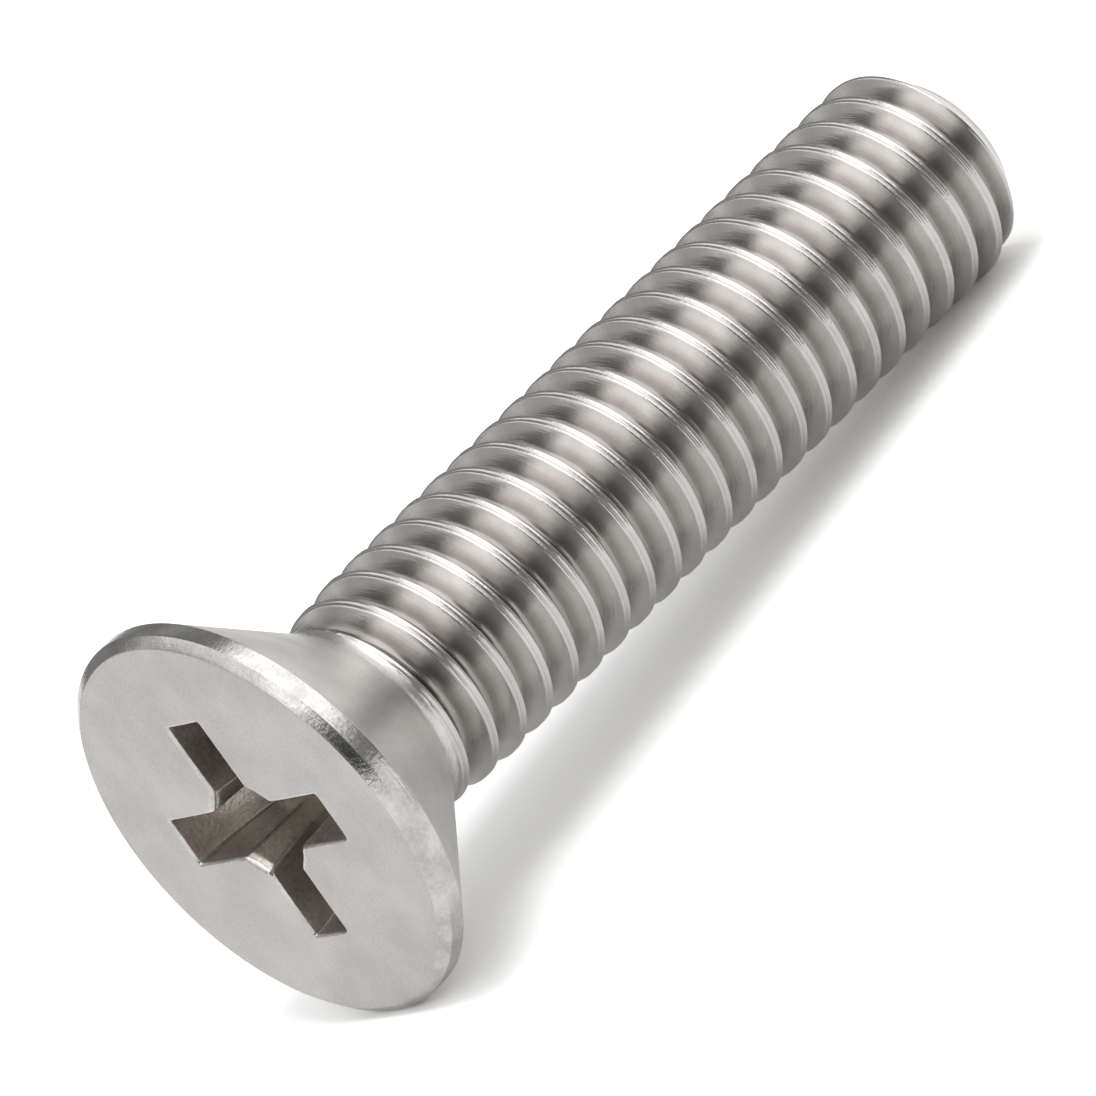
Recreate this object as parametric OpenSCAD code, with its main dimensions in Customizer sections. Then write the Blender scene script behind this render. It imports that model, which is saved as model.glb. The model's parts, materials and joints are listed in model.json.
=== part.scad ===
// Countersunk machine screw with a cross recess, threaded along its whole shank, in mm.
// It lies as it comes to rest: the head's rim and the thread near the tip touch z = 0.
// +X runs along the shank towards the tip, +Z is up, and the middle of its length is over x = 0.

/* [Overall] */
// length over all, from the flat face to the tip
screw_length = 18.8; // [12:0.1:22]

/* [Head] */
// width across the upright rim of the head
head_d = 7.7; // [6.8:0.05:8.4]
// width of the bevel, from the flat face's edge out to the rim
bevel_w = 0.18; // [0.05:0.01:0.4]
// height of the bevel between the flat face and the rim
bevel_h = 0.15; // [0.05:0.01:0.3]
// height of the upright rim below the bevel
rim_h = 0.31; // [0.1:0.01:0.5]
// full angle of the seat cone under the rim
seat_angle = 82; // [78:1:90]
// width of the plain neck where the seat cone ends
neck_d = 3.8; // [3.6:0.05:3.95]
// radius of the hollow corner between the seat cone and the neck
neck_fillet = 0.35; // [0.1:0.05:0.6]
// length of the plain neck after its hollow corner
neck_land = 0.02; // [0:0.01:0.3]

/* [Recess] */
// width over two opposite wings, at the face
recess_w = 4.28; // [3.6:0.02:4.8]
// thickness of each wing
wing_t = 0.9; // [0.6:0.02:1.1]
// slope of each wing's outer end away from the screw's axis, in degrees
wing_slope = 11; // [5:1:20]
// depth of the wings at their outer ends
wing_depth = 1.55; // [1:0.05:1.7]
// further depth of the pointed bottom at the middle
point_depth = 0.45; // [0.2:0.05:0.6]
// width of the small flat at the middle of the bottom
point_w = 0.4; // [0.1:0.05:0.8]
// how far the recess's cutters stand out in front of the face
cut_over = 0.2; // [0.1:0.05:0.5]
// width over the corners of the square well between the wings, at the face
well_w = 2.54; // [2:0.02:2.8]
// width over the corners of the square well at the wings' depth
well_bottom_w = 2.1; // [1.6:0.02:2.4]

/* [Thread] */
// outside diameter of the thread
thread_d = 4.12; // [4:0.01:4.2]
// distance from one turn to the next
pitch = 0.7056; // [0.65:0.0001:0.8]
// depth from the crest to the root
thread_depth = 0.35; // [0.25:0.01:0.42]
// width of the rounded crest
crest_w = 0.26; // [0.12:0.01:0.3]
// how far the crest's edges fall below its middle
crest_drop = 0.055; // [0:0.005:0.08]
// width of the floor of the root
root_w = 0.11; // [0.05:0.01:0.16]
// length over which the first turn rises out of the neck
run_out = 1.1; // [0.6:0.1:2]
// width of the flat end at the tip
tip_d = 3.08; // [2.6:0.02:3.4]
// how far the thread starts inside the end of the neck
thread_lap = 0.06; // [0.02:0.01:0.2]
// how much thinner than the neck the thread starts
thread_inset = 0.02; // [0.01:0.005:0.1]
// turn of the whole thread about the screw's axis, in degrees
thread_turn = 231; // [0:1:359]

/* [Hidden] */
thread_steps = 36;
rim_r = head_d / 2;
bevel_r = rim_r - bevel_w;
neck_r = neck_d / 2;
crest_r = thread_d / 2;
tip_r = tip_d / 2;
rim_end = bevel_h + rim_h;
half_angle = seat_angle / 2;
seat_end = rim_end + (rim_r - neck_r) / tan(half_angle);
fillet_run = neck_fillet * tan(half_angle / 2);
neck_end = seat_end + fillet_run + neck_land;
// the thread starts a little inside the end of the neck and a little thinner than it
thread_start = neck_end - thread_lap;
root_start_r = neck_r - thread_inset;
tip_chamfer = crest_r - tip_r;
chamfer_start = screw_length - tip_chamfer;
// the crest meets azimuth 0 at this distance along the screw, and every pitch from there
crest_at = pitch * thread_turn / 360;
// the thread's lowest crest, which touches the floor near the tip
low_crest_phase = crest_at + pitch * 0.75;
low_crest = low_crest_phase + pitch * floor((chamfer_start - low_crest_phase) / pitch);
rest_angle = atan((rim_r - crest_r) / (low_crest - rim_end));
rest_height = rim_end * sin(rest_angle) + rim_r * cos(rest_angle);
rest_start = -bevel_r * sin(rest_angle);
rest_end = screw_length * cos(rest_angle) + tip_r * sin(rest_angle);

steel = [0.72, 0.71, 0.69];

// one turn of the thread's section: distance from the crest's middle, depth below the crest
function turn_section() = [
    [-crest_w / 2, crest_drop],
    [0, 0],
    [crest_w / 2, crest_drop],
    [pitch / 2 - root_w / 2, thread_depth],
    [pitch / 2 + root_w / 2, thread_depth]
];

// how much of the thread's height has risen out of the neck at a distance along the screw
function rise(x) = max(0, min(1, (x - thread_start) / run_out));

// radius of the thread at a distance along the screw, held inside the tip's chamfer
function thread_r(x, depth) =
    min(root_start_r + (crest_r - depth - root_start_r) * rise(x), tip_r + screw_length - x);

section = turn_section();
levels_a_turn = len(section);
first_turn = floor((thread_start - crest_at) / pitch) - 3;
last_turn = ceil((screw_length - crest_at) / pitch) + 2;
level_count = (last_turn - first_turn) * levels_a_turn;

// azimuth of one column of points, from the lowest line of the screw round once
function column_angle(j) = 270 + 360 * j / thread_steps;

// distance along the screw of one level in one column, before it is held between the ends
function level_at(j, l) =
    crest_at + pitch * (column_angle(j) / 360 + first_turn - 1 + floor(l / levels_a_turn))
    + section[l % levels_a_turn][0];

function level_x(j, l) = max(thread_start, min(screw_length, level_at(j, l)));

// depth of the section at any distance along one column
function depth_at(j, x) = let(
    crest = crest_at + pitch * column_angle(j) / 360,
    u = (x - crest) / pitch - floor((x - crest) / pitch + crest_w / 2 / pitch),
    from_crest = u * pitch
) lookup(from_crest, [
    for (p = section) p,
    [pitch - crest_w / 2, crest_drop]
]);

function thread_point(j, l) = let(
    x = level_x(j, l),
    r = thread_r(x, depth_at(j, x)),
    t = column_angle(j)
) [x, r * cos(t), r * sin(t)];

thread_points = [
    for (j = [0:thread_steps - 1])
        for (l = [0:level_count - 1])
            thread_point(j, l)
];

function point_index(j, l) =
    j < thread_steps
    ? j * level_count + max(0, min(level_count - 1, l))
    : max(0, min(level_count - 1, l + levels_a_turn));

function is_apart(a, b, c) =
    norm(thread_points[a] - thread_points[b]) > 1e-6
    && norm(thread_points[b] - thread_points[c]) > 1e-6
    && norm(thread_points[c] - thread_points[a]) > 1e-6;

// one full thread as a closed skin, flat at both ends
module thread() {
    skin = [
        for (j = [0:thread_steps - 1])
            for (l = [-levels_a_turn:level_count - 2])
                let(
                    a = point_index(j, l),
                    b = point_index(j, l + 1),
                    c = point_index(j + 1, l + 1),
                    d = point_index(j + 1, l)
                )
                for (tri = [[a, b, c], [a, c, d]])
                    if (is_apart(tri[0], tri[1], tri[2])) tri
    ];
    near_end = [for (j = [0:thread_steps - 1]) j * level_count];
    far_end = [for (j = [thread_steps - 1:-1:0]) j * level_count + level_count - 1];
    polyhedron(points = thread_points, faces = concat(skin, [near_end, far_end]));
}

// half section of the head, its seat and the neck: radius, distance along the screw
head_section = concat(
    [
        [0, 0],
        [bevel_r, 0],
        [rim_r, bevel_h],
        [rim_r, rim_end]
    ],
    [
        for (i = [0:4])
            let(t = half_angle * (1 - i / 4))
            [
                neck_r + neck_fillet * (1 - cos(t)),
                seat_end + fillet_run - neck_fillet * sin(t)
            ]
    ],
    [
        [neck_r, neck_end],
        [0, neck_end]
    ]
);

module head() {
    rotate([0, 90, 0])
        rotate_extrude($fn = 96)
            polygon(head_section);
}

// one pair of opposite wings, standing up in the XZ plane before it is turned
module wing_pair() {
    drop = wing_depth + point_depth;
    bottom_w = recess_w - 2 * drop * tan(wing_slope);
    rotate([90, 0, 0])
        translate([0, 0, -wing_t / 2])
            linear_extrude(height = wing_t)
                polygon([
                    [-cut_over, -recess_w / 2 - cut_over * tan(wing_slope)],
                    [drop, -bottom_w / 2],
                    [drop, bottom_w / 2],
                    [-cut_over, recess_w / 2 + cut_over * tan(wing_slope)]
                ]);
}

module well() {
    rise = (well_w - well_bottom_w) / 2 / wing_depth;
    rotate([0, 90, 0])
        translate([0, 0, -cut_over])
            cylinder(
                h = wing_depth + point_depth + cut_over,
                r1 = well_w / 2 + cut_over * rise,
                r2 = well_bottom_w / 2 - point_depth * rise,
                $fn = 4
            );
}

// everything in front of the pointed bottom
module recess_bottom() {
    rotate([0, 90, 0]) {
        translate([0, 0, -2 * cut_over])
            cylinder(h = wing_depth + 2 * cut_over, r = recess_w, $fn = 72);
        translate([0, 0, wing_depth])
            cylinder(h = point_depth, r1 = recess_w / 2, r2 = point_w / 2, $fn = 72);
    }
}

module recess() {
    intersection() {
        union() {
            wing_pair();
            rotate([90, 0, 0]) wing_pair();
            well();
        }
        recess_bottom();
    }
}

module screw() {
    color(steel)
        translate([-(rest_start + rest_end) / 2, 0, rest_height])
            rotate([0, rest_angle, 0])
                difference() {
                    union() {
                        head();
                        thread();
                    }
                    recess();
                }
}

screw();
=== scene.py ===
import bpy, bmesh, json, math
from mathutils import Vector, Matrix, noise

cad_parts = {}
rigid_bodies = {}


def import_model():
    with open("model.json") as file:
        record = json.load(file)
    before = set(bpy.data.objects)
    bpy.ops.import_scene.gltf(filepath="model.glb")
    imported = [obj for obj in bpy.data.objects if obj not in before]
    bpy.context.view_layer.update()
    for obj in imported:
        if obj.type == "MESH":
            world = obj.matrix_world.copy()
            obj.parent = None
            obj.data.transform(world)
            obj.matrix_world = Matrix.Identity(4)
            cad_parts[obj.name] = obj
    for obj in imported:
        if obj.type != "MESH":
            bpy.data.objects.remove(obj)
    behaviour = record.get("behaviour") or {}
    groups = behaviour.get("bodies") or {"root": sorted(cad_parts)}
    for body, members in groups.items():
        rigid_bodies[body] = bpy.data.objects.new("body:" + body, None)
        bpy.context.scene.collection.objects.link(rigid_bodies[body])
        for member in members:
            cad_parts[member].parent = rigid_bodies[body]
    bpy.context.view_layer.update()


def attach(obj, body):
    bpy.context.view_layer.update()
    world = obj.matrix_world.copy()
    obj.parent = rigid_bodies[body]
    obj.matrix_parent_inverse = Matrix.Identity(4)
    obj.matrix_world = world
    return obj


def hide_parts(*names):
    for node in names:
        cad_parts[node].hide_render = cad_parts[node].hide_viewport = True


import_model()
scene = bpy.context.scene
scene.view_settings.view_transform = "Standard"

# Lengths are in mm along the screw's own axis, from the flat face at 0 to the tip, and angles in degrees.
# The finished mesh is laid down on the floor and turned to metres in one step.
screw = {
    "length": 18.8,
    "rimR": 3.85, "bevelW": 0.18, "bevelH": 0.15, "rimH": 0.31,
    "seatAngle": 82, "neckR": 1.9, "neckFillet": 0.35, "neckLead": 0.02,
    "crestR": 2.06, "tipR": 1.54, "pitch": 0.7056, "threadTurn": 231,
    "columns": 128,  # points round the axis
}
faceR = screw["rimR"] - screw["bevelW"]
rimEnd = screw["bevelH"] + screw["rimH"]
halfAngle = math.radians(screw["seatAngle"] / 2)
seatEnd = rimEnd + (screw["rimR"] - screw["neckR"]) / math.tan(halfAngle)
filletEnd = seatEnd + screw["neckFillet"] * math.tan(halfAngle / 2)
threadStart = filletEnd + screw["neckLead"]
crestAt = screw["pitch"] * screw["threadTurn"] / 360

# the rim of the head and the last crest before the chamfer both touch the floor. The crest's helix passes the
# underside three quarters of a turn on from where it starts.
lowCrest = crestAt + screw["pitch"] * 0.75
while lowCrest + screw["pitch"] < screw["length"] - screw["crestR"] + screw["tipR"]:
    lowCrest += screw["pitch"]
tilt = math.atan((screw["rimR"] - screw["crestR"]) / (lowCrest - rimEnd))
restHeight = rimEnd * math.sin(tilt) + screw["rimR"] * math.cos(tilt)
restStart = -faceR * math.sin(tilt)
restEnd = screw["length"] * math.cos(tilt) + screw["tipR"] * math.sin(tilt)
restMove = Vector((-(restStart + restEnd) / 2, 0, restHeight))
toFloor = Matrix.Scale(0.001, 4) @ Matrix.Translation(restMove) @ Matrix.Rotation(tilt, 4, "Y")


def addObject(name, data):
    thing = bpy.data.objects.new(name, data)
    scene.collection.objects.link(thing)
    return thing


class Skin:
    # the points and faces of one mesh, with a finish number for each face
    def __init__(self):
        self.points = []
        self.faces = []
        self.finish = []

    def ring(self, points):
        start = len(self.points)
        self.points.extend(points)
        return list(range(start, len(self.points)))

    def face(self, corners, finish):
        self.faces.append(corners)
        self.finish.append(finish)

    def bridge(self, a, b, finish):
        for i in range(len(a)):
            j = (i + 1) % len(a)
            self.face([a[i], a[j], b[j], b[i]], finish)

    def joinLoops(self, a, b, angleA, angleB, finish):
        # joins two closed loops of unlike points, in the order of their angles
        angleA = angleA + [angleA[0] + math.tau]
        angleB = angleB + [angleB[0] + math.tau]
        i = j = 0
        while i < len(a) or j < len(b):
            if j == len(b) or (i < len(a) and angleA[i + 1] <= angleB[j + 1]):
                self.face([a[i], a[(i + 1) % len(a)], b[j % len(b)]], finish)
                i += 1
            else:
                self.face([a[i % len(a)], b[(j + 1) % len(b)], b[j]], finish)
                j += 1


def around(x, r, angles):
    return [(x, r * math.cos(t), r * math.sin(t)) for t in angles]


def roundOff(path, corner, radius, steps):
    # replaces one corner of a (distance, radius) path by an arc
    a, b, c = (Vector(p) for p in path[corner - 1:corner + 2])
    u, v = (a - b).normalized(), (c - b).normalized()
    half = math.acos(max(-1, min(1, u.dot(v)))) / 2
    cut = radius / math.tan(half)
    middle = b + (u + v).normalized() * (radius / math.sin(half))
    first, last = b + u * cut - middle, b + v * cut - middle
    turn = first.angle_signed(last)
    arc = []
    for k in range(steps + 1):
        t = -turn * k / steps
        arc.append(middle + Vector((first.x * math.cos(t) - first.y * math.sin(t),
                                    first.x * math.sin(t) + first.y * math.cos(t))))
    return path[:corner] + [tuple(p) for p in arc] + path[corner + 1:]


finishNames = ["tumbledFace", "pressedRim", "rolledThread", "punchedRecess", "shearedTip", "neckFillet",
               "pressedSeat"]
face, rim, thread, recess, tip, fillet, seat = range(len(finishNames))

# the recess: a wing's half width, its reach, the well between the wings, and how they narrow with depth.
# wallRows and bottomRows are shares of the way down and of the way out where the mesh has a row of points.
recessShape = {
    "wingHalf": 0.45, "wingDraft": 0.02, "reach": 2.14, "reachDraft": 0.02, "reachCurve": 0.2,
    "well": 1.27, "wellDraft": 0.142, "depth": 1.55, "pointDepth": 0.45, "pointR": 0.2,
    "endCorner": 0.05, "wellCorner": 0.14, "leastCorner": 0.03,
    "mouthRound": 0.055, "mouthSteps": 5, "cornerWear": 1.0, "border": 0.04,
    "roughEdge": 0.013, "roughCoarse": 9, "roughFine": 23, "roughRows": 10,
    "wallRows": (0.06, 0.14, 0.25, 0.38, 0.52, 0.66, 0.8, 0.9, 0.96),
    "bottomRows": (0.96, 0.88, 0.74, 0.58, 0.42, 0.26, 0.12),
}


def splitLine(a, b, runs):
    # the points of a straight line in even steps, with both of its ends
    return [(a[0] + (b[0] - a[0]) * k / runs, a[1] + (b[1] - a[1]) * k / runs) for k in range(runs + 1)]


def recessOctant(depth, grow):
    # half of one wing, from the middle of its end to the middle of the well's side
    shape = recessShape
    reach = shape["reach"] - shape["reachDraft"] * depth - shape["reachCurve"] * depth ** 2 + grow
    half = shape["wingHalf"] - shape["wingDraft"] * depth + grow
    well = shape["well"] - shape["wellDraft"] * depth + grow * math.sqrt(2)
    path = [(reach, 0), (reach, half), (well - half, half), (well / 2, well / 2)]
    path = roundOff(path, 2, max(shape["wellCorner"] - grow, shape["leastCorner"]), 5)
    path = roundOff(path, 1, shape["endCorner"] + grow, 4)
    # even steps on the two long straight runs, the wing's end and its side
    longRuns = {0: 3, 5: 7}
    points = []
    for k, (a, b) in enumerate(zip(path, path[1:])):
        points += splitLine(a, b, longRuns.get(k, 1))[:-1]
    return points + [path[-1]]


def recessLoop(depth, grow):
    octant = recessOctant(depth, grow)
    quarter = octant + [(z, y) for y, z in reversed(octant[:-1])]
    loop = []
    for k in range(4):
        c, s = [(1, 0), (0, 1), (-1, 0), (0, -1)][k]
        loop += [(y * c - z * s, y * s + z * c) for y, z in quarter[:-1]]
    return loop


def floorDepth(r):
    shape = recessShape
    fall = (shape["reach"] - r) / (shape["reach"] - shape["pointR"])
    return shape["depth"] + shape["pointDepth"] * max(0, min(1, fall))


def mouthRows(sharp, wide, spread):
    # the rounded edge between the face and the walls, from its outer row down to the wall
    shape = recessShape
    steps = shape["mouthSteps"]
    rows = []
    for k in range(steps + 1):
        t = math.radians(90) * k / steps
        row = []
        for (y, z), (wideY, wideZ) in zip(sharp, wide):
            # the edge is worn more on the well's corners
            corner = abs(math.sin(2 * math.atan2(z, y))) ** 6
            wear = shape["mouthRound"] * (1 + shape["cornerWear"] * corner)
            out = wear * (1 - math.sin(t)) / spread
            row.append((wear * (1 - math.cos(t)), y + (wideY - y) * out, z + (wideZ - z) * out))
        rows.append(row)
    return rows


def wallFoot(count):
    # the walls end where they meet the sloping bottom, which a few rounds find
    foot = []
    for i in range(count):
        depth = recessShape["depth"]
        for _ in range(6):
            depth = floorDepth(math.hypot(*recessLoop(depth, 0)[i]))
        foot.append((depth, *recessLoop(depth, 0)[i]))
    return foot


def fray(rows):
    # the punch leaves the mouth's edge a little ragged
    shape = recessShape
    for k, row in enumerate(rows):
        fade = 1 - k / len(rows)
        for i, (x, y, z) in enumerate(row):
            coarse = noise.noise(Vector((y * shape["roughCoarse"], z * shape["roughCoarse"], 3.1)))
            fine = noise.noise(Vector((y * shape["roughFine"], z * shape["roughFine"], 8.7)))
            push = shape["roughEdge"] * fade * (coarse + 0.6 * fine)
            r = math.hypot(y, z)
            row[i] = (x, y + y / r * push, z + z / r * push)


def addRecess(skin):
    # a flat border that keeps the face's shading even, the mouth, the walls, then the bottom in to its point
    shape = recessShape
    spread = 0.1
    sharp, wide = recessLoop(0, 0), recessLoop(0, spread)
    rows = mouthRows(sharp, wide, spread)
    mouthFoot = rows[-1]
    for share in shape["wallRows"]:
        # the first rows stay below the mouth's rounding
        depth = shape["depth"] * share
        loop = recessLoop(depth, 0)
        rows.append([(max(depth, x + 0.005), y, z) for (x, _, _), (y, z) in zip(mouthFoot, loop)])
    last = wallFoot(len(sharp))
    rows.append(last)
    for share in shape["bottomRows"]:
        rows.append([(floorDepth(math.hypot(y, z) * share), y * share, z * share) for _, y, z in last])
    out = shape["border"] / spread
    rows.insert(0, [(0, y + (wideY - sharpY) * out, z + (wideZ - sharpZ) * out)
                    for (_, y, z), (sharpY, sharpZ), (wideY, wideZ) in zip(rows[0], sharp, wide)])
    fray(rows[:shape["roughRows"]])
    rings = [skin.ring(row) for row in rows]
    for k, (a, b) in enumerate(zip(rings, rings[1:])):
        skin.bridge(b, a, face if k == 0 else rim if k < shape["mouthSteps"] else recess)
    centre = skin.ring([(floorDepth(0), 0, 0)])[0]
    end = rings[-1]
    for i in range(len(end)):
        skin.face([end[i], centre, end[(i + 1) % len(end)]], recess)
    return rings[0], [math.atan2(z, y) % math.tau for _, y, z in rows[0]]


# the head's section outside the recess, with small rounds on the bevel's and the seat's edges
headShape = {
    "faceEdge": 0.03, "rimEdge": 0.05, "seatEdge": 0.03, "faceBorder": 0.25, "longestStep": 0.16,
    "faceFinishEnd": 0.005, "filletFinishLead": 0.1,
}


def headSection():
    shape = headShape
    path = [(0, faceR - shape["faceBorder"]), (0, faceR), (screw["bevelH"], screw["rimR"]),
            (rimEnd, screw["rimR"]), (seatEnd, screw["neckR"]), (threadStart, screw["neckR"])]
    path = roundOff(path, 4, screw["neckFillet"], 10)
    path = roundOff(path, 3, shape["seatEdge"], 4)
    path = roundOff(path, 2, shape["rimEdge"], 4)
    path = roundOff(path, 1, shape["faceEdge"], 4)
    fine = [path[0]]
    for a, b in zip(path, path[1:]):
        fine += splitLine(a, b, max(1, math.ceil(math.dist(a, b) / shape["longestStep"])))[1:]
    return fine


def headFinish(x):
    # the finish of a band of the head whose middle lies this far from the face
    if x < headShape["faceFinishEnd"]:
        return face
    if x < rimEnd:
        return rim
    return seat if x < seatEnd - headShape["filletFinishLead"] else fillet


def addHead(skin, angles):
    rings = []
    section = headSection()
    for x, r in section:
        rings.append(skin.ring(around(x, r, angles)))
    for k, (a, b) in enumerate(zip(rings, rings[1:])):
        skin.bridge(a, b, headFinish((section[k][0] + section[k + 1][0]) / 2))
    mouth, mouthAngles = addRecess(skin)
    # the wing's middle lies on azimuth 0, so both loops start there
    skin.joinLoops(mouth, rings[0], mouthAngles, angles, face)
    return rings[-1]


# half a turn of the rolled thread: distance from the crest's middle, depth below the crest. The lips of the
# crest meet in a shallow seam. The crest rises and the groove sinks out of the neck by shares of their full
# size, at distances from the face.
threadShape = {
    "section": [(0, 0.046), (0.013, 0.025), (0.032, 0.009), (0.062, 0.004), (0.079, 0.009), (0.093, 0.028),
                (0.108, 0.06), (0.128, 0.1), (0.154, 0.153), (0.187, 0.216), (0.216, 0.267), (0.245, 0.312),
                (0.275, 0.35), (0.305, 0.377), (0.333, 0.391)],
    "rootDepth": 0.395,
    "rise": [(2.55, 0), (2.9, 0.2), (3.44, 0.62), (4.2, 1)],
    "sink": [(2.5, 0), (2.8, 0.42), (3.1, 0.85), (3.5, 1)],
    "waver": 0.006, "waverScale": (1.3, 3), "seamScale": (9, 22), "seamDepth": 0.05,
    "chamferSoft": 0.05, "startGap": 0.004, "endGap": 0.03, "lastRow": 0.015,
}


def along(table, x):
    if x <= table[0][0]:
        return table[0][1]
    for (x0, y0), (x1, y1) in zip(table, table[1:]):
        if x <= x1:
            return y0 + (y1 - y0) * (x - x0) / (x1 - x0)
    return table[-1][1]


def threadPoint(x, t, turn, low):
    # the thread's surface at a distance from the face and an angle round the axis
    shape = threadShape
    pitch = screw["pitch"]
    depth = along(turn, (x - crestAt - pitch * t / math.tau - low) % pitch + low)
    up = along(shape["rise"], x)
    r = screw["neckR"] + (screw["crestR"] - screw["neckR"]) * up - depth * along(shape["sink"], x)
    # slow waver of the rolled surface, and a rough seam
    y, z = math.cos(t), math.sin(t)
    lengthwise, sideways = shape["waverScale"]
    wave = noise.noise(Vector((x * lengthwise, y * sideways, z * sideways))) - 0.4
    if depth < shape["seamDepth"]:
        lengthwise, sideways = shape["seamScale"]
        wave += 0.5 * noise.noise(Vector((x * lengthwise, y * sideways, z * sideways)))
    r += up * shape["waver"] * min(0, wave)
    # the tip's chamfer, with a soft edge where it meets the thread
    chamfer = screw["tipR"] + screw["length"] - x
    soft = shape["chamferSoft"]
    near = max(soft - abs(r - chamfer), 0) / soft
    r = min(r, chamfer) - near * near * soft / 4
    return (x, r * y, r * z)


def threadColumns(skin, angles, neckRing):
    # lines of points along the shank, one for each angle, that cross every line of the helix
    shape = threadShape
    pitch = screw["pitch"]
    half = shape["section"]
    low = -half[-1][0]
    turn = [(-x, d) for x, d in reversed(half[1:])] + half + [(pitch / 2, shape["rootDepth"])]
    closedTurn = turn + [(pitch + low, half[-1][1])]
    firstTurn = math.floor((threadStart - crestAt) / pitch) - 2
    lastTurn = math.ceil((screw["length"] - crestAt) / pitch) + 1
    columns = []
    for t, neckPoint in zip(angles, neckRing):
        marks = [crestAt + pitch * (k + t / math.tau) + u
                 for k in range(firstTurn, lastTurn + 1) for u, _ in turn]
        marks = [x for x in marks if threadStart + shape["startGap"] < x < screw["length"] - shape["endGap"]]
        marks.append(screw["length"] - shape["lastRow"])
        index = skin.ring([threadPoint(x, t, closedTurn, low) for x in marks])
        columns.append(([threadStart] + marks, [neckPoint] + index))
    return columns


def addThread(skin, angles, neckRing):
    # neighbouring columns are joined by the helix's own lines
    columns = threadColumns(skin, angles, neckRing)
    rise = screw["pitch"] / len(columns)
    for j, (xa, ia) in enumerate(columns):
        xb, ib = columns[(j + 1) % len(columns)]
        a = b = 0
        while a < len(ia) - 1 or b < len(ib) - 1:
            canA = a < len(ia) - 1
            canB = b < len(ib) - 1
            if canA and canB and abs(xa[a + 1] + rise - xb[b + 1]) < 1e-4:
                skin.face([ia[a], ib[b], ib[b + 1], ia[a + 1]], thread)
                a += 1
                b += 1
            elif canA and (not canB or xa[a + 1] + rise < xb[b + 1]):
                skin.face([ia[a], ib[b], ia[a + 1]], thread)
                a += 1
            else:
                skin.face([ia[a], ib[b], ib[b + 1]], thread)
                b += 1
    return [ids[-1] for _, ids in columns]


# the sheared end: its edge lies a little inside the chamfer, and the dish is distance and share of the radius
tipShape = {
    "inset": 0.02,
    "dish": [(0, 1), (0, 0.9), (-0.01, 0.78), (-0.03, 0.6), (-0.045, 0.4), (-0.05, 0.2), (-0.052, 0.06)],
}


def addTip(skin, angles, edge):
    last = edge
    edgeR = screw["tipR"] - tipShape["inset"]
    for x, share in tipShape["dish"]:
        ring = skin.ring(around(screw["length"] + x, edgeR * share, angles))
        skin.bridge(last, ring, tip)
        last = ring
    centre = skin.ring([(screw["length"] + x, 0, 0)])[0]
    for i in range(len(last)):
        skin.face([last[i], last[(i + 1) % len(last)], centre], tip)


def buildScrew():
    skin = Skin()
    angles = [math.tau * k / screw["columns"] for k in range(screw["columns"])]
    neckRing = addHead(skin, angles)
    edge = addThread(skin, angles, neckRing)
    addTip(skin, angles, edge)
    mesh = bpy.data.meshes.new("screwBody")
    mesh.from_pydata([toFloor @ Vector(p) for p in skin.points], [], skin.faces)
    mesh.polygons.foreach_set("material_index", skin.finish)
    mesh.validate()
    bm = bmesh.new()
    bm.from_mesh(mesh)
    bmesh.ops.recalc_face_normals(bm, faces=bm.faces)
    for f in bm.faces:
        f.smooth = True
    bm.to_mesh(mesh)
    bm.free()
    piece = addObject("screwBody", mesh)
    triangles = sum(len(p.vertices) - 2 for p in mesh.polygons)
    print("screw body:", len(mesh.vertices), "points,", triangles, "triangles")
    return piece


class Nodes:
    # short hand for laying out one node tree
    def __init__(self, tree):
        self.tree = tree
        tree.nodes.clear()

    def add(self, kind, inputs=None, **settings):
        node = self.tree.nodes.new(kind)
        for name, value in settings.items():
            setattr(node, name, value)
        for name, value in (inputs or {}).items():
            if isinstance(value, bpy.types.NodeSocket):
                self.tree.links.new(value, node.inputs[name])
            else:
                node.inputs[name].default_value = value
        return node


def newMaterial(name):
    material = bpy.data.materials.new(name)
    material.use_nodes = True
    return material, Nodes(material.node_tree)


def nodeGroup(name, inputs, outputs):
    group = bpy.data.node_groups.new(name, "ShaderNodeTree")
    lay = Nodes(group)
    for label, kind, value in inputs:
        socket = group.interface.new_socket(label, in_out="INPUT", socket_type=kind)
        if value is not None:
            socket.default_value = value
    for label, kind in outputs:
        group.interface.new_socket(label, in_out="OUTPUT", socket_type=kind)
    return group, lay, lay.add("NodeGroupInput"), lay.add("NodeGroupOutput")


def screwSpaceGroup():
    # the surface's place in mm along and around the screw's own axis, and how far from the axis it lies
    group, lay, _, out = nodeGroup("screwSpace", [],
                                   [("Place", "NodeSocketVector"), ("Radius", "NodeSocketFloat")])
    back = Matrix.Rotation(-tilt, 4, "Y")
    coordinates = lay.add("ShaderNodeTexCoord")
    place = lay.add("ShaderNodeMapping", {"Vector": coordinates.outputs["Object"],
                                          "Scale": (1000, 1000, 1000), "Rotation": (0, -tilt, 0),
                                          "Location": -(back @ restMove)})
    parts = lay.add("ShaderNodeSeparateXYZ", {0: place.outputs[0]})
    flat = lay.add("ShaderNodeCombineXYZ", {1: parts.outputs[1], 2: parts.outputs[2]})
    radius = lay.add("ShaderNodeVectorMath", {0: flat.outputs[0]}, operation="LENGTH")
    lay.tree.links.new(place.outputs[0], out.inputs["Place"])
    lay.tree.links.new(radius.outputs["Value"], out.inputs["Radius"])
    return group


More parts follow.
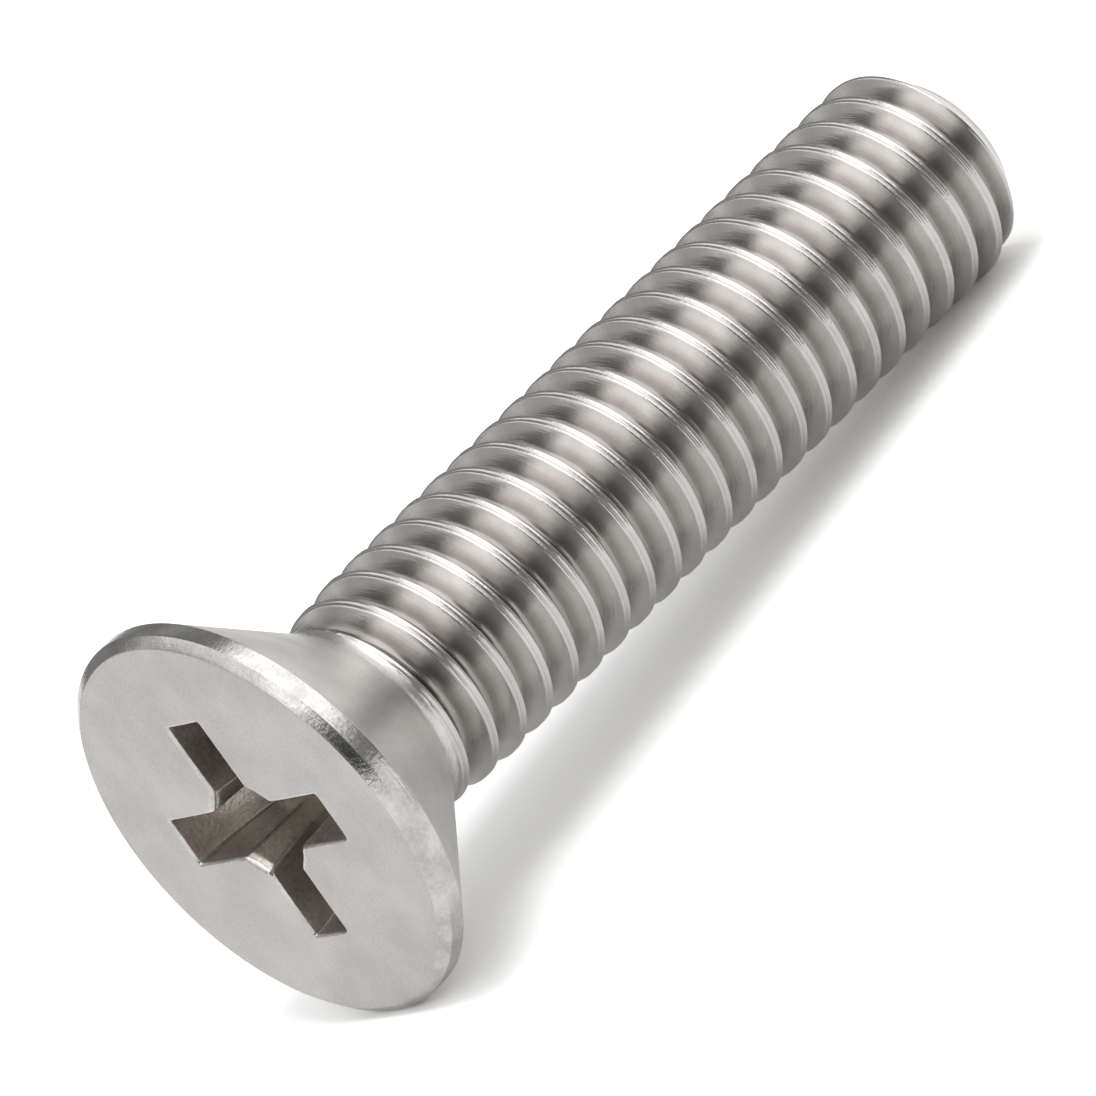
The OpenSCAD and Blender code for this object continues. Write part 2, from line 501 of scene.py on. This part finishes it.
def grainGroup():
    # fine tumbled grain with small pits: Height for bump, Cloud for slow changes of tone
    group, lay, given, out = nodeGroup(
        "steelGrain",
        [("Place", "NodeSocketVector", None), ("Grain Scale", "NodeSocketFloat", 9),
         ("Cloud Scale", "NodeSocketFloat", 1.2), ("Pit Scale", "NodeSocketFloat", 5),
         ("Pit Share", "NodeSocketFloat", 0.1)],
        [("Height", "NodeSocketFloat"), ("Cloud", "NodeSocketFloat")])
    place = given.outputs["Place"]
    fine = lay.add("ShaderNodeTexNoise", {"Vector": place, "Scale": given.outputs["Grain Scale"],
                                          "Detail": 4.0, "Roughness": 0.6})
    cloud = lay.add("ShaderNodeTexNoise", {"Vector": place, "Scale": given.outputs["Cloud Scale"],
                                           "Detail": 3.0, "Roughness": 0.55})
    pits = lay.add("ShaderNodeTexVoronoi", {"Vector": place, "Scale": given.outputs["Pit Scale"],
                                            "Randomness": 1.0})
    pitMask = lay.add("ShaderNodeMapRange", {"Value": pits.outputs["Distance"], "From Min": 0.0,
                                             "From Max": given.outputs["Pit Share"],
                                             "To Min": 1.0, "To Max": 0.0},
                      interpolation_type="SMOOTHSTEP")
    dent = lay.add("ShaderNodeMath", {0: fine.outputs["Fac"], 1: pitMask.outputs["Result"]},
                   operation="SUBTRACT")
    lay.tree.links.new(dent.outputs[0], out.inputs["Height"])
    lay.tree.links.new(cloud.outputs["Fac"], out.inputs["Cloud"])
    return group


def streakGroup():
    # fine lines that run around the screw, as rolling and pressing leave them
    group, lay, given, out = nodeGroup(
        "rolledStreaks",
        [("Place", "NodeSocketVector", None), ("Across", "NodeSocketFloat", 22),
         ("Around", "NodeSocketFloat", 0.35)],
        [("Height", "NodeSocketFloat")])
    parts = lay.add("ShaderNodeSeparateXYZ", {0: given.outputs["Place"]})
    flat = lay.add("ShaderNodeCombineXYZ", {1: parts.outputs[1], 2: parts.outputs[2]})
    radius = lay.add("ShaderNodeVectorMath", {0: flat.outputs[0]}, operation="LENGTH")
    direction = lay.add("ShaderNodeVectorMath", {0: flat.outputs[0]}, operation="NORMALIZE")
    slow = lay.add("ShaderNodeVectorMath", {0: direction.outputs[0], "Scale": given.outputs["Around"]},
                   operation="SCALE")
    slowParts = lay.add("ShaderNodeSeparateXYZ", {0: slow.outputs[0]})
    across = given.outputs["Across"]
    x = lay.add("ShaderNodeMath", {0: parts.outputs[0], 1: across}, operation="MULTIPLY")
    r = lay.add("ShaderNodeMath", {0: radius.outputs["Value"], 1: across}, operation="MULTIPLY")
    line = lay.add("ShaderNodeCombineXYZ", {0: x.outputs[0], 1: r.outputs[0], 2: slowParts.outputs[1]})
    lines = lay.add("ShaderNodeTexNoise", {"Vector": line.outputs[0], "W": slowParts.outputs[2], "Scale": 1.0,
                                           "Detail": 3.0, "Roughness": 0.65}, noise_dimensions="4D")
    lay.tree.links.new(lines.outputs["Fac"], out.inputs["Height"])
    return group


groups = {"space": screwSpaceGroup(), "grain": grainGroup(), "streaks": streakGroup()}

# one stainless steel, worked in seven ways. Bump is in mm, and grain, cloud and pit are marks for each mm.
steelFinishes = {
    "tumbledFace": {"metal": 1.0, "color": (0.585, 0.57, 0.549), "dark": (0.50, 0.486, 0.467), "rough": 0.34,
                    "roughSpread": 0.06, "grain": 20, "grainTone": 1.3, "grainBump": 0.0060, "cloud": 0.9,
                    "pit": 2.6, "pitShare": 0.05},
    "pressedSeat": {"metal": 1.0, "color": (0.70, 0.687, 0.668), "dark": (0.56, 0.548, 0.53), "rough": 0.34,
                    "roughSpread": 0.06, "grain": 14, "grainTone": 0.5, "grainBump": 0.0060, "cloud": 0.8,
                    "pit": 2.6, "pitShare": 0.05},
    "pressedRim": {"metal": 1.0, "color": (0.68, 0.667, 0.648), "dark": (0.48, 0.468, 0.45), "rough": 0.15,
                   "roughSpread": 0.10, "grain": 14, "grainTone": 0.6, "grainBump": 0.0045, "cloud": 1.8,
                   "pit": 4.0, "pitShare": 0.07, "streakBump": 0.004},
    "rolledThread": {"metal": 1.0, "color": (0.70, 0.685, 0.665), "dark": (0.60, 0.585, 0.565), "rough": 0.19,
                     "roughSpread": 0.06, "grain": 14, "grainTone": 0.3, "grainBump": 0.0016, "cloud": 1.4,
                     "pit": 5.0, "pitShare": 0.03, "streakBump": 0.003, "edgeBump": 0.005,
                     # the root tone and its reach paint shade deeper in the thread's grooves
                     "rootShadeTone": (0.54, 0.522, 0.505), "rootShadeReach": (0.4, 0.12), "tornCrest": (0.045, 0.005),
                     "tornScale": 17.0},
    "punchedRecess": {"metal": 0.85, "color": (0.585, 0.55, 0.512), "dark": (0.39, 0.357, 0.325),
                      "rough": 0.25, "roughSpread": 0.10, "grain": 14, "grainTone": 0.8, "grainBump": 0.0075,
                      # the end tone and its reach paint light towards the wings' ends
                      "cloud": 1.2, "pit": 7.0, "pitShare": 0.08, "endLightTone": 1.35, "endLightReach": (1.5, 2.0)},
    "shearedTip": {"metal": 1.0, "color": (0.60, 0.585, 0.56), "dark": (0.50, 0.485, 0.46), "rough": 0.28,
                   "roughSpread": 0.10, "grain": 7, "grainTone": 0.5, "grainBump": 0.0060, "cloud": 1.5,
                   "pit": 4.0, "pitShare": 0.08, "streakBump": 0.003},
    "neckFillet": {"metal": 1.0, "color": (0.76, 0.745, 0.72), "dark": (0.64, 0.625, 0.60), "rough": 0.28,
                   "roughSpread": 0.08, "grain": 14, "grainTone": 0.6, "grainBump": 0.0055, "cloud": 1.8,
                   "pit": 5.0, "pitShare": 0.10, "streakBump": 0.003},
}


def steel(name):
    look = steelFinishes[name]
    material, lay = newMaterial(name)
    space = lay.add("ShaderNodeGroup", node_tree=groups["space"])
    grain = lay.add("ShaderNodeGroup", node_tree=groups["grain"])
    lay.tree.links.new(space.outputs["Place"], grain.inputs["Place"])
    grainKeys = {"Grain Scale": "grain", "Cloud Scale": "cloud", "Pit Scale": "pit", "Pit Share": "pitShare"}
    for label, key in grainKeys.items():
        grain.inputs[label].default_value = look[key]
    fleck = lay.add("ShaderNodeMath", {0: grain.outputs["Height"], 1: look["grainTone"],
                                       2: grain.outputs["Cloud"]}, operation="MULTIPLY_ADD")
    middle = (1 + look["grainTone"]) / 2
    tone = lay.add("ShaderNodeMapRange", {"Value": fleck.outputs[0], "From Min": middle - 0.2,
                                          "From Max": middle + 0.2})
    color = lay.add("ShaderNodeMix", {0: tone.outputs[0], 6: look["dark"] + (1,), 7: look["color"] + (1,)},
                    data_type="RGBA")
    radius = space.outputs["Radius"]
    if "rootShadeTone" in look:
        # painted shade: the colour is darkened deeper in the thread's grooves
        deep, shallow = look["rootShadeReach"]
        root = lay.add("ShaderNodeMapRange", {"Value": radius, "From Min": screw["crestR"] - deep,
                                              "From Max": screw["crestR"] - shallow,
                                              "To Min": 1.0, "To Max": 0.0}, interpolation_type="SMOOTHSTEP")
        color = lay.add("ShaderNodeMix", {0: root.outputs[0], 6: color.outputs[2],
                                          7: look["rootShadeTone"] + (1,)},
                        data_type="RGBA", blend_type="MULTIPLY")
    if "endLightTone" in look:
        # painted light: the recess is brightened towards the wings' ends
        inner, outer = look["endLightReach"]
        end = lay.add("ShaderNodeMapRange", {"Value": radius, "From Min": inner, "From Max": outer,
                                             "To Min": 1.0, "To Max": look["endLightTone"]},
                      interpolation_type="SMOOTHSTEP")
        color = lay.add("ShaderNodeMix", {0: 1.0, 6: color.outputs[2], 7: end.outputs[0]},
                        data_type="RGBA", blend_type="MULTIPLY")
    rough = lay.add("ShaderNodeMapRange", {"Value": grain.outputs["Cloud"], "From Min": 0.3, "From Max": 0.7,
                                           "To Min": look["rough"] + look["roughSpread"] / 2,
                                           "To Max": look["rough"] - look["roughSpread"] / 2})
    bump = lay.add("ShaderNodeBump", {"Height": grain.outputs["Height"],
                                      "Distance": look["grainBump"] * 0.001, "Strength": 1.0})
    if "streakBump" in look:
        streaks = lay.add("ShaderNodeGroup", {"Place": space.outputs["Place"]}, node_tree=groups["streaks"])
        bump = lay.add("ShaderNodeBump", {"Height": streaks.outputs["Height"], "Normal": bump.outputs[0],
                                          "Distance": look["streakBump"] * 0.001, "Strength": 1.0})
    if "edgeBump" in look:
        # the thread's crest is torn a little where the rolled lips meet
        deep, shallow = look["tornCrest"]
        crest = lay.add("ShaderNodeMapRange", {"Value": radius, "From Min": screw["crestR"] - deep,
                                               "From Max": screw["crestR"] - shallow,
                                               "To Min": 0.0, "To Max": look["edgeBump"]})
        torn = lay.add("ShaderNodeTexNoise", {"Vector": space.outputs["Place"], "Scale": look["tornScale"],
                                              "Detail": 2.0})
        tornHeight = lay.add("ShaderNodeMath", {0: torn.outputs["Fac"], 1: crest.outputs[0]},
                             operation="MULTIPLY")
        bump = lay.add("ShaderNodeBump", {"Height": tornHeight.outputs[0], "Normal": bump.outputs[0],
                                          "Distance": 0.001, "Strength": 1.0})
    shader = lay.add("ShaderNodeBsdfPrincipled", {"Base Color": color.outputs[2], "Metallic": look["metal"],
                                                  "Roughness": rough.outputs[0], "Normal": bump.outputs[0]})
    lay.add("ShaderNodeOutputMaterial", {"Surface": shader.outputs[0]})
    return material


screwBody = buildScrew()
for name in finishNames:
    screwBody.data.materials.append(steel(name))
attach(screwBody, "root")
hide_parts("screw")
print("finishes laid on")


# the floor's colour for its own light, for the camera and in the metal, then the sky, the lamp and a card
studio = {
    "floorColor": 0.80, "cameraColor": 1.42, "metalColor": 1.0, "floorHalf": 1.5,
    "skyLight": 0.75,
    "keyPower": 0.6, "keySize": 0.20, "keyPlace": (0.0, -0.09, 0.44),
    "flagFrom": (-0.0045, -0.0095, 0.0), "flagTo": (0.08, -0.0095, 0.0055),
    "flagLevel": 0.20, "flagFoot": 0.34, "flagFade": 0.85,
}

# the light tent round the screw is seen only in the metal. Its panels lie on each other in this order,
# each with its edges as turns from +X and heights above the floor in degrees; a level of 1 is white.
lightTent = {
    "radius": 0.5, "level": 0.88, "cell": 3, "foot": -3,
    "panels": [
        {"turn": (25, 110), "height": (-10, 16), "level": 0.25, "soft": 14},
        {"turn": (22, 115), "height": (14, 36), "level": 0.22, "soft": 12},
        {"turn": (10, 118), "height": (36, 90), "level": 0.24, "soft": 12},
        {"turn": (0, 360), "height": (76, 120), "level": 0.27, "soft": 9},
        {"turn": (180, 360), "height": (23.5, 81), "level": 1.8, "soft": 16},
        {"turn": (116, 186), "height": (42, 80), "level": 1.1, "soft": 16},
        {"turn": (208, 272), "height": (-10, 38), "level": 0.30, "soft": 14},
        {"turn": (152, 184), "height": (-10, 24), "level": 0.95, "soft": 12},
        {"turn": (122, 152), "height": (-10, 38), "level": 0.42, "soft": 14},
        {"turn": (185, 320), "height": (-30, 15.5), "level": 0.20, "soft": 15},
        {"turn": (189, 222), "height": (-12, 22), "level": 0.05, "soft": 8},
    ],
}


def panelShare(panel, turn, height):
    # 1 inside a panel, fading to 0 over its soft edge
    first, last = panel["turn"]
    low, high = panel["height"]
    off = abs((turn - (first + last) / 2 + 180) % 360 - 180) - (last - first) / 2
    if last - first >= 360:
        off = -90
    # turns lie closer together near the tent's top
    off = max(off * math.cos(math.radians(min(height, 80))), low - height, height - high)
    share = max(0, min(1, 0.5 - off / panel["soft"]))
    return share * share * (3 - 2 * share)


def glowInMetal(thing, lay, strength):
    # a plain white glow that only the metal shows: the camera doesn't see it and it lights nothing
    glow = lay.add("ShaderNodeEmission", {"Color": (1, 1, 1, 1), "Strength": strength})
    lay.add("ShaderNodeOutputMaterial", {"Surface": glow.outputs[0]})
    thing.visible_camera = thing.visible_diffuse = thing.visible_shadow = False


def makeTent():
    cell = lightTent["cell"]
    turns = range(0, 360, cell)
    heights = range(lightTent["foot"], 91, cell)
    points, faces, levels = [], [], []
    for height in heights:
        for turn in turns:
            e, a = math.radians(height), math.radians(turn)
            points.append([lightTent["radius"] * v
                           for v in (math.cos(e) * math.cos(a), math.cos(e) * math.sin(a), math.sin(e))])
            level = lightTent["level"]
            for panel in lightTent["panels"]:
                level += (panel["level"] - level) * panelShare(panel, turn, height)
            levels.append(level)
    n = len(turns)
    for row in range(len(heights) - 1):
        for k in range(n):
            a, b = row * n + k, row * n + (k + 1) % n
            faces.append((a, b, b + n, a + n))
    mesh = bpy.data.meshes.new("lightTent")
    mesh.from_pydata(points, [], faces)
    mesh.attributes.new("tentLight", "FLOAT", "POINT").data.foreach_set("value", levels)
    tent = addObject("lightTent", mesh)
    material, lay = newMaterial("lightTent")
    light = lay.add("ShaderNodeAttribute", attribute_name="tentLight")
    glowInMetal(tent, lay, light.outputs["Fac"])
    material.cycles.emission_sampling = "NONE"
    mesh.materials.append(material)


def throughRays(lay):
    # 1 for what the camera sees, straight or in metal and glass
    path = lay.add("ShaderNodeLightPath")
    two = lay.add("ShaderNodeMath", {0: path.outputs["Is Camera Ray"], 1: path.outputs["Is Glossy Ray"]},
                  operation="MAXIMUM")
    three = lay.add("ShaderNodeMath", {0: two.outputs[0], 1: path.outputs["Is Transmission Ray"]},
                    operation="MAXIMUM")
    return three.outputs[0]


def makeFloor():
    mesh = bpy.data.meshes.new("paleFloor")
    bm = bmesh.new()
    bmesh.ops.create_grid(bm, x_segments=8, y_segments=8, size=studio["floorHalf"])
    bm.to_mesh(mesh)
    bm.free()
    floor = addObject("paleFloor", mesh)
    material, lay = newMaterial("paleFloor")
    # the paper is white to the camera and in the metal, and keeps the screw's shadow
    path = lay.add("ShaderNodeLightPath")
    through = lay.add("ShaderNodeMapRange", {"Value": throughRays(lay), "To Min": studio["floorColor"],
                                             "To Max": studio["metalColor"]})
    lift = studio["cameraColor"] - studio["metalColor"]
    level = lay.add("ShaderNodeMath", {0: path.outputs["Is Camera Ray"], 1: lift, 2: through.outputs[0]},
                    operation="MULTIPLY_ADD")
    matte = lay.add("ShaderNodeBsdfDiffuse", {"Color": level.outputs[0]})
    lay.add("ShaderNodeOutputMaterial", {"Surface": matte.outputs[0]})
    mesh.materials.append(material)


def makeWorld():
    world = bpy.data.worlds.new("studio")
    scene.world = world
    world.use_nodes = True
    lay = Nodes(world.node_tree)
    level = lay.add("ShaderNodeMapRange", {"Value": throughRays(lay), "To Min": studio["skyLight"],
                                           "To Max": 1.0})
    back = lay.add("ShaderNodeBackground", {"Color": (1, 1, 1, 1), "Strength": level.outputs[0]})
    lay.add("ShaderNodeOutputWorld", {"Surface": back.outputs[0]})


def makeFlag():
    # a card in front of the screw that glows grey, brighter at its foot: a painted reflection that only the
    # metal shows
    (x0, y, z0), (x1, _, z1) = studio["flagFrom"], studio["flagTo"]
    mesh = bpy.data.meshes.new("frontFlag")
    mesh.from_pydata([(x0, y, z0), (x1, y, z0), (x1, y, z1), (x0, y, z1)], [], [(0, 1, 2, 3)])
    flag = addObject("frontFlag", mesh)
    material, lay = newMaterial("frontFlag")
    coordinates = lay.add("ShaderNodeTexCoord")
    parts = lay.add("ShaderNodeSeparateXYZ", {0: coordinates.outputs["Object"]})
    level = lay.add("ShaderNodeMapRange", {"Value": parts.outputs[2], "From Min": z0,
                                           "From Max": z1 * studio["flagFade"],
                                           "To Min": studio["flagFoot"], "To Max": studio["flagLevel"]},
                    interpolation_type="SMOOTHSTEP")
    glowInMetal(flag, lay, level.outputs[0])
    material.cycles.emission_sampling = "NONE"
    mesh.materials.append(material)


def makeLamp():
    # one soft square lamp overhead, aimed at the floor under the screw's middle
    light = bpy.data.lights.new("overheadLamp", "AREA")
    light.shape = "SQUARE"
    light.size = studio["keySize"]
    light.energy = studio["keyPower"]
    lamp = addObject("overheadLamp", light)
    lamp.location = studio["keyPlace"]
    lamp.rotation_euler = (-Vector(studio["keyPlace"])).to_track_quat("-Z", "Y").to_euler()
    lamp.visible_camera = lamp.visible_glossy = False


# the photograph's camera, fitted to points on the picture: place in m and turns in degrees
cameraView = {
    "place": (-0.073434, -0.117607, 0.049931),
    "turn": (66.0074, 37.5627, -46.5949),
    "lens": 288.8, "sensor": 36, "clip": (0.005, 10),
}


def makeCamera():
    optics = bpy.data.cameras.new("camera")
    optics.lens = cameraView["lens"]
    optics.sensor_width = cameraView["sensor"]
    optics.clip_start, optics.clip_end = cameraView["clip"]
    camera = addObject("camera", optics)
    camera.location = cameraView["place"]
    camera.rotation_euler = [math.radians(v) for v in cameraView["turn"]]
    scene.camera = camera


makeFloor()
makeWorld()
makeTent()
makeFlag()
makeLamp()
makeCamera()
print("studio set")
